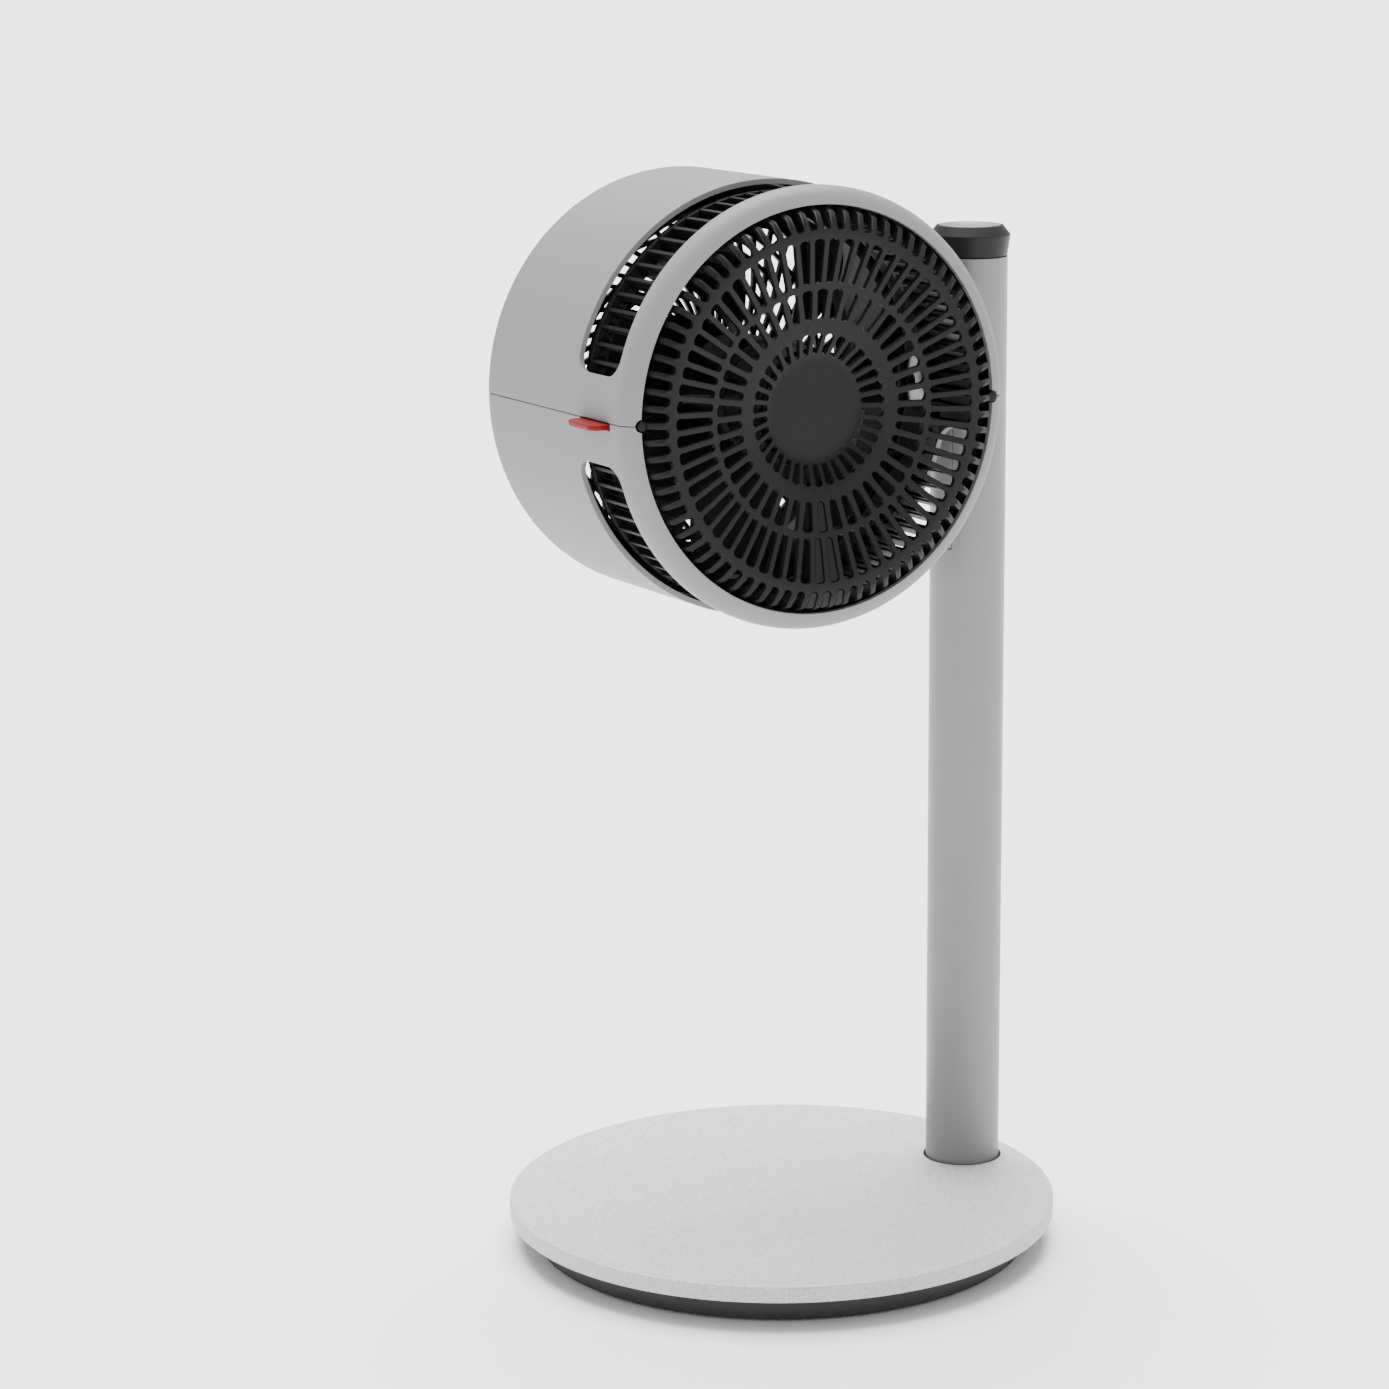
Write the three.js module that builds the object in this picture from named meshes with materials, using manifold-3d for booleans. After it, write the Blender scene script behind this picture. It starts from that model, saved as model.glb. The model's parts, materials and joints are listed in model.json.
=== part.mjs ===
// Desk fan: a drum-shaped fan head beside the top of a round pole, which swivels near the edge of a
// flat round base. Millimetres. +Z is up, +X points from the base's centre to the pole and -Y is the
// way the fan blows. The origin is the base's centre on the surface that it stands on.
import * as THREE from "three";
import { mergeVertices } from "three/addons/utils/BufferGeometryUtils.js";
import Module from "manifold-3d";

const wasm = await Module();
wasm.setup();

// ---- driving dimensions ----
const GAP = 0.3; // between fixed neighbours
const BASE_R = 130;
const PLATE_T = 8;
const PLATE_TOP = 21.5;
const PLATE_EDGE = 0.8;
const PLATE_LOW = PLATE_TOP - PLATE_T;
const FOOT_R_LOW = 117.5;
const FOOT_R_TOP = 126;
const FOOT_LOW = 0.9;
const FOOT_WALL = 2.2;
const CHASSIS_R = 108;
const CHASSIS_LOW = 3.4;
const CHASSIS_TOP = 9.6;
const SCREW_PCD_R = 80;
const PAD_PCD_R = 98;
const PAD_R = 7;
const PAD_T = 1.6;

const POLE_X = 103.6; // pole axis from the base's centre
const POLE_R = 17.9;
const POLE_WALL = 2;
const POLE_HOLE_R = 19;
const POLE_LOW = 16.9;
const POLE_TOP = 462.6;
const COVER_HALF_ANGLE = 32; // degrees each side of the drum's direction
const COVER_LOW = 326;

const HEAD_Z = 406; // fan axis above the surface
const HEAD_OFFSET = 120.9; // fan axis to pole axis
const DRUM_R = 98.6;
const DRUM_WALL = 2.6;
const FRONT_Y = -65;
const BACK_Y = 67;
const FRONT_FILLET = 8;
const BACK_FILLET = 3;
const LIP_R = 90.6;
const SLOT_FROM = 11; // behind the front lip
const SLOT_TO = 48;
const SLOT_ANGLE = 11.5; // degrees from the seam to a slot's end
const SLOT_CORNER = 9;
const AXLE_R = 7;

const GRILLE_R = 89.9;
const GRILLE_T = 2.4;
const HUB_R = 23;
// Front grille: [radius, y] along the dished front, from the hub to the crest.
const DISH = [
  [0, -58.1],
  [HUB_R, -58.1],
  [34, -63],
  [40, -64],
  [55, -66.2],
  [77.5, -70.1],
  [80.5, -70.1],
  [89.9, -63],
];
const DUCT_FRONT = 5;
const DUCT_BACK = 34;
const GUARD_PARTS = 8;
const IMPELLER_R = 83.5;
const BLADES = 7;

// ---- helpers ----
const rad = THREE.MathUtils.degToRad;

// A solid of revolution about +Y. The outline is [radius, height] points, closed on itself or on the axis.
function lathe(outline, segments = 48) {
  const points = outline.map(([r, h]) => new THREE.Vector2(r, h));
  if (outline[0][0] > 0 || outline.at(-1)[0] > 0) points.push(points[0].clone());
  return facingOut(new THREE.LatheGeometry(points, segments));
}

const latheZ = (outline, segments) => lathe(outline, segments).rotateX(Math.PI / 2);
const latheX = (outline, segments) => lathe(outline, segments).rotateZ(-Math.PI / 2);

// A box from its low to its high corner.
function box([x0, y0, z0], [x1, y1, z1]) {
  const g = new THREE.BoxGeometry(x1 - x0, y1 - y0, z1 - z0);
  return g.translate((x0 + x1) / 2, (y0 + y1) / 2, (z0 + z1) / 2);
}

function facingOut(geometry) {
  const p = geometry.attributes.position;
  const index = geometry.index.array;
  const [a, b, c] = [0, 1, 2].map(() => new THREE.Vector3());
  let volume = 0;
  for (let i = 0; i < index.length; i += 3) {
    a.fromBufferAttribute(p, index[i]);
    b.fromBufferAttribute(p, index[i + 1]);
    c.fromBufferAttribute(p, index[i + 2]);
    volume += a.dot(b.cross(c));
  }
  if (volume < 0)
    for (let i = 0; i < index.length; i += 3) [index[i], index[i + 1]] = [index[i + 1], index[i]];
  return geometry;
}

function solid(geometry) {
  const bare = new THREE.BufferGeometry();
  bare.setAttribute("position", geometry.attributes.position);
  bare.setIndex(geometry.index);
  const merged = mergeVertices(bare, 1e-4);
  const triVerts = new Uint32Array(merged.index.array);
  const vertProperties = merged.attributes.position.array;
  return new wasm.Manifold(new wasm.Mesh({ numProp: 3, vertProperties, triVerts }));
}

function surface(body) {
  const mesh = body.getMesh();
  const geometry = new THREE.BufferGeometry();
  geometry.setAttribute("position", new THREE.BufferAttribute(new Float32Array(mesh.vertProperties), 3));
  geometry.setIndex(new THREE.BufferAttribute(new Uint32Array(mesh.triVerts), 1));
  return geometry;
}

const cut = (geometry, ...tools) => surface(tools.reduce((s, t) => s.subtract(solid(t)), solid(geometry)));
const join = (...parts) => surface(parts.slice(1).reduce((s, t) => s.add(solid(t)), solid(parts[0])));

// A quarter-round run of points from angle a to angle b (degrees) about [r, h].
function arc(r, h, radius, a, b, steps = 4) {
  return Array.from({ length: steps + 1 }, (_, i) => {
    const t = rad(a + ((b - a) * i) / steps);
    return [r + radius * Math.cos(t), h + radius * Math.sin(t)];
  });
}

const turnedRing = (r0, r1, h0, h1) => [
  [r0, h0],
  [r1, h0],
  [r1, h1],
  [r0, h1],
];

// A six-sided nut's outline: its hole clears a shaft of radius r0.
const hexNut = (r0, r1, h0, h1) => turnedRing(r0 / Math.cos(Math.PI / 6), r1, h0, h1);

const paint = (color, roughness, metalness = 0) =>
  new THREE.MeshStandardMaterial({ color, roughness, metalness });
const silver = paint(0xc9cacb, 0.45, 0.3);
const black = paint(0x2b2b2c, 0.55);
const steel = paint(0x8d9196, 0.35, 1);
const bronze = paint(0xa8793f, 0.4, 1);
const rubber = paint(0x1b1b1b, 0.9);
const copper = paint(0xb0643a, 0.4, 1);
const red = paint(0xc8201f, 0.4);
const board = paint(0x1f5a37, 0.6);

function place(group, name, geometry, material) {
  const mesh = new THREE.Mesh(geometry, material);
  mesh.name = name;
  group.add(mesh);
}

const fan = new THREE.Group();
const base = new THREE.Group();
const pole = new THREE.Group();
const head = new THREE.Group();
pole.position.set(POLE_X, 0, 0);
head.position.set(POLE_X - HEAD_OFFSET, 0, HEAD_Z);
fan.add(base, pole, head);

// ---- base ----
function polar(radius, degrees) {
  return [radius * Math.cos(rad(degrees)), radius * Math.sin(rad(degrees))];
}
const screwAngles = [45, 135, 225, 315];
const padAngles = [35, 107, 180, 253, 325];
const upright = (x, y, r0, r1, z0, z1, segments = 24) =>
  latheZ(turnedRing(r0, r1, z0, z1), segments).translate(x, y, 0);

function makeBase() {
  const e = PLATE_EDGE;
  const plate = latheZ(
    [
      [0, PLATE_LOW],
      [BASE_R - e, PLATE_LOW],
      [BASE_R, PLATE_LOW + e],
      [BASE_R, PLATE_TOP - e],
      [BASE_R - e, PLATE_TOP],
      [0, PLATE_TOP],
    ],
    96,
  );
  const poleHole = upright(POLE_X, 0, 0, POLE_HOLE_R, PLATE_LOW - 1, PLATE_TOP + 1, 48);
  const plateBores = screwAngles.map((a) => upright(...polar(SCREW_PCD_R, a), 0, 2.2, 12, 18.5, 12));
  place(base, "base_plate", cut(plate, poleHole, ...plateBores), silver);

  const footTop = PLATE_LOW - GAP;
  const floorTop = CHASSIS_LOW - GAP;
  const slope = (FOOT_R_TOP - FOOT_R_LOW) / (footTop - FOOT_LOW);
  const foot = latheZ(
    [
      [0, FOOT_LOW],
      [FOOT_R_LOW - 1, FOOT_LOW],
      [FOOT_R_LOW, FOOT_LOW + 1],
      [FOOT_R_TOP, footTop],
      [FOOT_R_TOP - FOOT_WALL, footTop],
      [FOOT_R_LOW - FOOT_WALL + slope * (floorTop - FOOT_LOW), floorTop],
      [0, floorTop],
    ],
    60,
  );
  const screwHoles = screwAngles.map((a) => upright(...polar(SCREW_PCD_R, a), 0, 3.9, 0, 5, 10));
  const padSeats = padAngles.map((a) => upright(...polar(PAD_PCD_R, a), 0, PAD_R + GAP, 0, PAD_T + GAP, 16));
  const socketHole = box([-9.3, 100, 3.7], [9.3, 130, 12.6]);
  place(base, "base_foot", cut(foot, socketHole, ...screwHoles, ...padSeats), black);

  const chassis = latheZ(turnedRing(0, CHASSIS_R, CHASSIS_LOW, CHASSIS_TOP), 72);
  const chassisCuts = screwAngles.map((a) => upright(...polar(SCREW_PCD_R, a), 0, 2.3, 0, 12, 12));
  const bushNotch = upright(POLE_X, 0, 0, 8.7, 0, 12, 24);
  const socketNotch = box([-22, 84, 0], [22, 120, 12]);
  place(base, "base_chassis", cut(chassis, bushNotch, socketNotch, ...chassisCuts), black);

  padAngles.forEach((a, i) => {
    const pad = [
      [0, 0],
      [PAD_R - 0.6, 0],
      [PAD_R, 0.6],
      [PAD_R, PAD_T],
      [0, PAD_T],
    ];
    const [x, y] = polar(PAD_PCD_R, a);
    place(base, "foot_pad_" + (i + 1), latheZ(pad, 16).translate(x, y, 0), rubber);
  });
  screwAngles.forEach((a, i) => {
    const screw = [
      [0, 1.2],
      [3.4, 1.2],
      [3.4, 3.1],
      [1.9, 3.1],
      [1.9, 18],
      [0, 18],
    ];
    const [x, y] = polar(SCREW_PCD_R, a);
    place(base, "base_screw_" + (i + 1), latheZ(screw, 8).translate(x, y, 0), steel);
  });

  const inlet = box([-9, 100, 4], [9, 120, 12.3]);
  place(base, "power_inlet", cut(inlet, box([-6.5, 107, 5.6], [6.5, 130, 10.7])), black);
  place(base, "power_board", box([-20, 85, 4.2], [20, 99.5, 5.8]), board);
  place(base, "swivel_bush", upright(POLE_X, 0, 5.7, 8.3, CHASSIS_LOW, 9.9, 32), bronze);
  place(base, "thrust_washer", upright(POLE_X, 0, 5.7, 12.5, 10.2, 10.9, 32), bronze);
}

// ---- pole, its axis at the group's origin ----
const TUBE_IN = POLE_R - POLE_WALL;

// The wedge within half degrees of the -X direction, between two heights.
function wedge(half, low, high) {
  const reach = 60;
  const w = reach * Math.tan(rad(half));
  const shape = new THREE.Shape();
  shape.moveTo(0, 0);
  shape.lineTo(-reach, w);
  shape.lineTo(-reach, -w);
  shape.closePath();
  const g = new THREE.ExtrudeGeometry(shape, { depth: high - low, bevelEnabled: false });
  return mergeVertices(g.deleteAttribute("normal").deleteAttribute("uv")).translate(0, 0, low);
}

const acrossAtHead = (r, x0, x1, segments = 32) =>
  latheX(turnedRing(0, r, x0, x1), segments).translate(0, 0, HEAD_Z);

function makePole() {
  const spigot = [
    [3.5, 4.2],
    [5.5, 4.2],
    [5.5, 11.2],
    [12.5, 11.2],
    [12.5, 13.6],
    [17.5, 13.6],
    [17.5, POLE_LOW - GAP],
    [TUBE_IN - GAP, POLE_LOW - GAP],
    [TUBE_IN - GAP, 36],
    [3.5, 36],
  ];
  place(pole, "pole_foot", latheZ(spigot, 28), steel);

  const tube = latheZ(turnedRing(TUBE_IN, POLE_R, POLE_LOW, POLE_TOP), 48);
  const window = wedge(COVER_HALF_ANGLE, COVER_LOW, POLE_TOP + 1);
  place(pole, "pole_tube", cut(tube, window), silver);

  const strip = solid(latheZ(turnedRing(TUBE_IN, POLE_R, COVER_LOW + GAP, POLE_TOP), 48));
  const sector = solid(wedge(COVER_HALF_ANGLE - 1, COVER_LOW, POLE_TOP + 1));
  const axleHole = solid(acrossAtHead(AXLE_R + 0.5, -30, 0));
  place(pole, "pole_cover", surface(strip.intersect(sector).subtract(axleHole)), silver);

  const block = latheZ(turnedRing(0, TUBE_IN - 0.5, HEAD_Z - 17, HEAD_Z + 17), 40);
  const flat = box([5.6, -30, HEAD_Z - 30], [30, 30, HEAD_Z + 30]);
  const bore = acrossAtHead(AXLE_R + 0.2, -30, 30);
  const wireWay = box([-20, -15, HEAD_Z - 30], [0, -11, HEAD_Z + 30]);
  place(pole, "tilt_bracket", cut(block, flat, bore, wireWay), steel);

  place(pole, "control_board", box([4, -12, 316], [5.6, 12, 362]), board);

  const mount = [
    [5.4, 448],
    [TUBE_IN - GAP, 448],
    [TUBE_IN - GAP, POLE_TOP - 0.1],
    [5.4, POLE_TOP - 0.1],
  ];
  place(pole, "knob_mount", latheZ(mount, 24), black);
  place(pole, "press_switch", latheZ(turnedRing(0, 7, 436, 447.5), 24), black);
}

function makeKnob() {
  const low = POLE_TOP + GAP;
  const top = 477;
  const ring = [
    [5.4, low],
    [17.4, low],
    [18.1, low + 0.8],
    [19.1, 472.4],
    [18.8, 473.3],
    [15.2, top],
    [14.8, top],
    [14.8, 470.5],
    [5.4, 470.5],
  ];
  place(pole, "knob_ring", latheZ(ring, 36), black);
  const cap = [
    [0, 449.3],
    [4.9, 449.3],
    [4.9, 472.5],
    [14.4, 472.5],
    [14.4, 477],
    [14, 477.3],
    [13.2, 477.3],
    [9, 476.2],
    [0, 475.7],
  ];
  place(pole, "knob_cap", latheZ(cap, 24), silver);
}

// ---- head, the fan axis along Y through the group's origin ----
const INNER_R = DRUM_R - DRUM_WALL;

// The band y0 to y1 of the casing's wall, over the top, that ends angle degrees above the seam.
function band(y0, y1, angle) {
  let body = solid(lathe(turnedRing(DRUM_R - 8, DRUM_R + 8, y0, y1), 60));
  for (const side of [-1, 1]) {
    const below = box([-200, -100, -200], [200, 100, 0]).rotateY(side * rad(angle));
    body = body.subtract(solid(below));
  }
  return body;
}

// A long round-cornered slot over the top of the casing.
function slotTool() {
  const y0 = FRONT_Y + SLOT_FROM;
  const y1 = FRONT_Y + SLOT_TO;
  const c = SLOT_CORNER;
  const turn = THREE.MathUtils.radToDeg(c / DRUM_R);
  let tool = band(y0 + c, y1 - c, SLOT_ANGLE).add(band(y0, y1, SLOT_ANGLE + turn));
  for (const y of [y0 + c, y1 - c])
    for (const side of [-1, 1]) {
      const lean = side * (90 - SLOT_ANGLE - turn);
      const corner = latheZ(turnedRing(0, c, DRUM_R - 12, DRUM_R + 12), 24).rotateY(rad(lean));
      tool = tool.add(solid(corner.translate(0, y, 0)));
    }
  return tool;
}

function casing() {
  const f = FRONT_FILLET;
  const b = BACK_FILLET;
  const outline = [
    [LIP_R, FRONT_Y + 2.4],
    [LIP_R, FRONT_Y],
    ...arc(DRUM_R - f, FRONT_Y + f, f, -90, 0),
    ...arc(DRUM_R - b, BACK_Y - b, b, 0, 90, 3),
    [LIP_R - 0.6, BACK_Y],
    [LIP_R - 0.6, BACK_Y - DRUM_WALL],
    [INNER_R, BACK_Y - DRUM_WALL],
    ...arc(DRUM_R - f, FRONT_Y + f, f - DRUM_WALL, 0, -60, 2),
  ];
  return solid(lathe(outline, 60));
}

const along = (r, y0, y1, x = 0, segments = 20) =>
  lathe(turnedRing(0, r, y0, y1), segments).translate(x, 0, 0);

function makeCasing() {
  const whole = casing();
  const axleHole = solid(latheX(turnedRing(0, AXLE_R + 0.5, 80, 110), 32));
  const pinHoles = [-1, 1].map((s) => solid(along(2.9, FRONT_Y - 5, FRONT_Y + 6, s * (LIP_R - 0.2))));
  const latchHole = solid(box([-120, -51, -3.3], [-80, -23.5, 0]));
  for (const [name, side] of [
    ["upper_shell", 1],
    ["lower_shell", -1],
  ]) {
    const low = side > 0 ? GAP / 2 : -200;
    const high = side > 0 ? 200 : -GAP / 2;
    let half = whole.intersect(solid(box([-200, -200, low], [200, 200, high])));
    const slot = side > 0 ? slotTool() : slotTool().rotate([0, 180, 0]);
    half = half.subtract(slot).subtract(axleHole);
    for (const hole of pinHoles) half = half.subtract(hole);
    if (side < 0) half = half.subtract(latchHole);
    place(head, name, surface(half), silver);
  }
  const rounded = latheZ(turnedRing(0, 6, -2.9, -0.4), 24);
  const ends = [-44.5, -30].map((y) => rounded.clone().translate(-101.1, y, 0));
  const tip = box([-107.1, -44.5, -2.9], [-98, -30, -0.4]);
  const root = box([-100.9, -50.5, -2.9], [-92.6, -24, -0.4]);
  place(head, "release_latch", join(root, tip, ...ends), red);
}

// A straight bar between two [radius, y] points, turned angle degrees about the fan axis.
function bar([r0, y0], [r1, y1], width, depth, angle) {
  const length = Math.hypot(r1 - r0, y1 - y0);
  const g = new THREE.BoxGeometry(length, depth, width);
  g.rotateZ(Math.atan2(y1 - y0, r1 - r0));
  g.translate((r0 + r1) / 2, (y0 + y1) / 2 + depth / 2, 0);
  return g.rotateY(-rad(angle));
}

function dishY(radius) {
  const i = Math.max(
    1,
    DISH.findIndex(([r]) => r >= radius),
  );
  const [[r0, y0], [r1, y1]] = [DISH[i - 1], DISH[i]];
  return y0 + ((y1 - y0) * (radius - r0)) / (r1 - r0);
}

function makeFrontGrille() {
  const t = GRILLE_T;
  const hub = lathe(
    [
      [0, dishY(0)],
      [HUB_R, dishY(HUB_R)],
      [HUB_R + 1.5, dishY(HUB_R + 1.5)],
      [HUB_R + 1.5, dishY(HUB_R) + t],
      [0, dishY(0) + t],
    ],
    40,
  );
  let body = solid(hub);
  const hoops = [
    [33.5, 40.5],
    [53.5, 56.8],
    [75.8, 80.5],
  ];
  for (const [r0, r1] of hoops) {
    const hoop = [
      [r0, dishY(r0)],
      [r1, dishY(r1)],
      [r1, dishY(r1) + t],
      [r0, dishY(r0) + t],
    ];
    body = body.add(solid(lathe(hoop, 36)));
  }
  const rim = [
    [86.6, -64.6],
    [88.2, -65.2],
    [GRILLE_R, -63],
    [GRILLE_R, -58],
    [86.6, -58],
  ];
  body = body.add(solid(lathe(rim, 48)));
  const rows = [
    [12, 24, 34.5, 3],
    [14, 39.5, 54.5, 4],
    [20, 56, 76.8, 4],
    [24, 79.5, 88.2, 4],
  ];
  for (const [count, r0, r1, width] of rows)
    for (let i = 0; i < count; i++) {
      const ends = [r0, r1].map((r) => [r, dishY(r) + 0.05]);
      body = body.add(solid(bar(...ends, width, t - 0.1, (360 * i) / count + 180 / count)));
    }
  const pins = [-1, 1].map((s) => along(2.4, FRONT_Y - 1.2, FRONT_Y + 5, s * (LIP_R - 0.2)));
  for (const pin of pins) body = body.add(solid(pin));
  place(head, "front_grille", surface(body), black);

  // The cable duct behind the grille, from the motor down to the rim.
  const duct = new THREE.Shape();
  duct.moveTo(-4, -28);
  duct.lineTo(4, -28);
  duct.lineTo(10.5, -84.5);
  duct.lineTo(-10.5, -84.5);
  duct.closePath();
  const plate = new THREE.ExtrudeGeometry(duct, { depth: 5, bevelEnabled: false });
  plate.rotateX(Math.PI / 2).translate(0, -54, 0);
  const bare = mergeVertices(plate.deleteAttribute("normal").deleteAttribute("uv"));
  place(head, "cable_duct", bare, black);
}

function makeRearGrille() {
  const low = 61;
  const high = 64;
  const hoops = [
    [0, 30],
    [43, 46],
    [66, 69],
    [85.5, GRILLE_R - 0.6],
  ];
  let body = solid(lathe(turnedRing(0, 30, low, high), 24));
  for (const [r0, r1] of hoops.slice(1)) body = body.add(solid(lathe(turnedRing(r0, r1, low, high), 36)));
  const ribs = 16;
  for (let i = 0; i < ribs; i++)
    hoops.slice(1).forEach(([r0], k) => {
      const inner = hoops[k][1] - 1;
      const g = bar([inner, low + 0.1], [r0 + 1.5, low + 0.1], 2.2, high - low - 0.2, 0);
      const mid = (inner + r0) / 2;
      g.translate(-mid, 0, 0).rotateY(rad(22)).translate(mid, 0, 0);
      body = body.add(solid(g.rotateY(-rad((360 * i) / ribs - k * 8))));
    });
  place(head, "rear_grille", surface(body), black);
}

// The duct ring round the impeller, and in front of it the arcs of axial bars behind the casing's slots.
function makeShroud() {
  const rear = FRONT_Y + SLOT_TO + 1;
  const outline = [
    [86, DUCT_BACK],
    [86, DUCT_FRONT],
    [88, DUCT_FRONT],
    [88, DUCT_FRONT + 9],
    [INNER_R - 0.8, DUCT_FRONT + 9],
    [INNER_R - 0.8, DUCT_FRONT + 12],
    [88, DUCT_FRONT + 12],
    [88, DUCT_BACK],
  ];
  place(head, "fan_shroud", lathe(outline, 48), black);

  const front = FRONT_Y + 8.6;
  let guard = solid(lathe(turnedRing(90.6, 94.2, front, front + 4), 48));
  guard = guard.add(solid(lathe(turnedRing(90.6, 94.2, rear - 3.9, rear - GAP), 48)));
  const bars = 4 * GUARD_PARTS;
  for (let i = 0; i < bars; i++) {
    const g = box([91, front + 1, -1.3], [94, rear - 1, 1.3]);
    guard = guard.add(solid(g.rotateY(-rad((360 * (i + 0.5)) / bars))));
  }
  const above = () => box([0, front - 1, GAP / 2], [100, rear + 1, 100]);
  const below = () => box([0, front - 1, -100], [100, rear + 1, -GAP / 2]);
  const step = 360 / GUARD_PARTS;
  for (let i = 0; i < GUARD_PARTS; i++) {
    const from = solid(above().rotateY(-rad(i * step)));
    const to = solid(below().rotateY(-rad((i + 1) * step)));
    place(head, "side_guard_" + (i + 1), surface(guard.intersect(from).intersect(to)), black);
  }
}

function makeTilt() {
  const far = HEAD_OFFSET;
  const axle = [
    [4, 88.6],
    [12, 88.6],
    [12, 91.4],
    [AXLE_R, 91.4],
    [AXLE_R, far + 10.6],
    [4, far + 10.6],
  ];
  place(head, "tilt_axle", latheX(axle, 20), steel);
  const collar = turnedRing(AXLE_R + GAP, 11.5, DRUM_R + GAP, far - POLE_R - 0.4);
  place(head, "tilt_collar", latheX(collar, 20), black);
  const washer = turnedRing(AXLE_R + GAP, 10.8, far + 5.9, far + 6.9);
  place(head, "friction_washer", latheX(washer, 20), bronze);
  const nut = hexNut(AXLE_R + GAP, 11.4, far + 7.2, far + 9.8);
  place(head, "tilt_nut", latheX(nut, 6), steel);
}

function makeMotor() {
  const plate = [
    [3.6, -55.3],
    [27, -55.3],
    [27, -53.4],
    [9.5, -53.4],
    [9.5, -49.4],
    [7.3, -49.4],
    [7.3, -53.4],
    [3.6, -53.4],
  ];
  place(head, "motor_plate", lathe(plate, 24), black);
  const can = [
    [24.5, -53.1],
    [27, -53.1],
    [27, -25],
    [26, -24],
    [4.2, -24],
    [4.2, -26.5],
    [7.3, -26.5],
    [7.3, -30.4],
    [9.5, -30.4],
    [9.5, -26.5],
    [24.5, -26.5],
  ];
  place(head, "motor_housing", lathe(can, 28), black);
  place(head, "motor_stator", lathe(turnedRing(13.4, 24.2, -47, -33), 32), copper);
  place(head, "front_bearing", lathe(turnedRing(3.3, 7, -53.1, -49.5), 28), steel);
  place(head, "rear_bearing", lathe(turnedRing(3.3, 7, -30.3, -26.8), 28), steel);
  place(head, "motor_shaft", lathe(turnedRing(0, 3, -52.8, 16), 20), steel);
  place(head, "motor_rotor", lathe(turnedRing(3.3, 12.6, -47, -33), 28), steel);
}

// One twisted blade, as a closed grid of span by chord cells.
function blade() {
  const [span, chord, thick] = [4, 4, 1.8];
  const points = [];
  for (const side of [0, 1])
    for (let i = 0; i <= span; i++)
      for (let j = 0; j <= chord; j++) {
        const [u, v] = [i / span, j / chord];
        const r = THREE.MathUtils.lerp(24, IMPELLER_R, u);
        const angle = rad(-14 * u * u) + rad(36) * (v - 0.5);
        const rise = THREE.MathUtils.lerp(30, 20, u) * (v - 0.5) + 5 * Math.sin(Math.PI * v);
        points.push(r * Math.cos(angle), -6 + rise + thick * side, r * Math.sin(angle));
      }
  const at = (side, i, j) => (side * (span + 1) + i) * (chord + 1) + j;
  const index = [];
  const quad = (a, b, c, d) => index.push(a, b, c, a, c, d);
  for (let i = 0; i < span; i++)
    for (let j = 0; j < chord; j++) {
      quad(at(0, i, j), at(0, i + 1, j), at(0, i + 1, j + 1), at(0, i, j + 1));
      quad(at(1, i, j), at(1, i, j + 1), at(1, i + 1, j + 1), at(1, i + 1, j));
    }
  for (let i = 0; i < span; i++) {
    quad(at(0, i, 0), at(1, i, 0), at(1, i + 1, 0), at(0, i + 1, 0));
    quad(at(0, i, chord), at(0, i + 1, chord), at(1, i + 1, chord), at(1, i, chord));
  }
  for (let j = 0; j < chord; j++) {
    quad(at(0, 0, j), at(0, 0, j + 1), at(1, 0, j + 1), at(1, 0, j));
    quad(at(0, span, j), at(1, span, j), at(1, span, j + 1), at(0, span, j + 1));
  }
  const g = new THREE.BufferGeometry();
  g.setAttribute("position", new THREE.Float32BufferAttribute(points, 3));
  return facingOut(g.setIndex(index));
}

function makeImpeller() {
  const hub = [
    [3.4, -21],
    [24, -21],
    [27, -18],
    [27, 12],
    [8.6, 12],
    [8.6, 8],
    [3.4, 8],
  ];
  let body = solid(lathe(hub, 28));
  for (let i = 0; i < BLADES; i++) body = body.add(solid(blade().rotateY(rad((360 * i) / BLADES))));
  place(head, "impeller", surface(body), black);
  place(head, "impeller_nut", lathe(hexNut(3 + GAP, 6.6, 8.4, 13), 6), steel);
}

makeBase();
makePole();
makeKnob();
makeCasing();
makeFrontGrille();
makeRearGrille();
makeShroud();
makeTilt();
makeMotor();
makeImpeller();

export default fan;
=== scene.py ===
import json
import math
from collections import namedtuple

import bmesh
import bpy
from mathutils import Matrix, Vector


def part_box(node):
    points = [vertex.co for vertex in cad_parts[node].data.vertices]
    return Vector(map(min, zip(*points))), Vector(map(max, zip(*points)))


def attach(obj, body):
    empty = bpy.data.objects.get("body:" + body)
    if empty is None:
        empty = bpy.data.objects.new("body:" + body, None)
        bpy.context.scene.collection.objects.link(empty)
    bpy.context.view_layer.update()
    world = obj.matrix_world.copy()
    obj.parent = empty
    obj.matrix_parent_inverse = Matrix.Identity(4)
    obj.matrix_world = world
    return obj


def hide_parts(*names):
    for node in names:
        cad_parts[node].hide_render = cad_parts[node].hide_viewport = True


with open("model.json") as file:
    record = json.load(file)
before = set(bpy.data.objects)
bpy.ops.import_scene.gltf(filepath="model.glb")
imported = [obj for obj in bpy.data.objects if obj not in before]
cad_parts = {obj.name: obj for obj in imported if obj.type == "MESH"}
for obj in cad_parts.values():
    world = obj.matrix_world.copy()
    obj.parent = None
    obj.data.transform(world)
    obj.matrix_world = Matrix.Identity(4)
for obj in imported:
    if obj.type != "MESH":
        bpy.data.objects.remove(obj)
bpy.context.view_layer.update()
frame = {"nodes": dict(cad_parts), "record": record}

MM = 0.001


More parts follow.
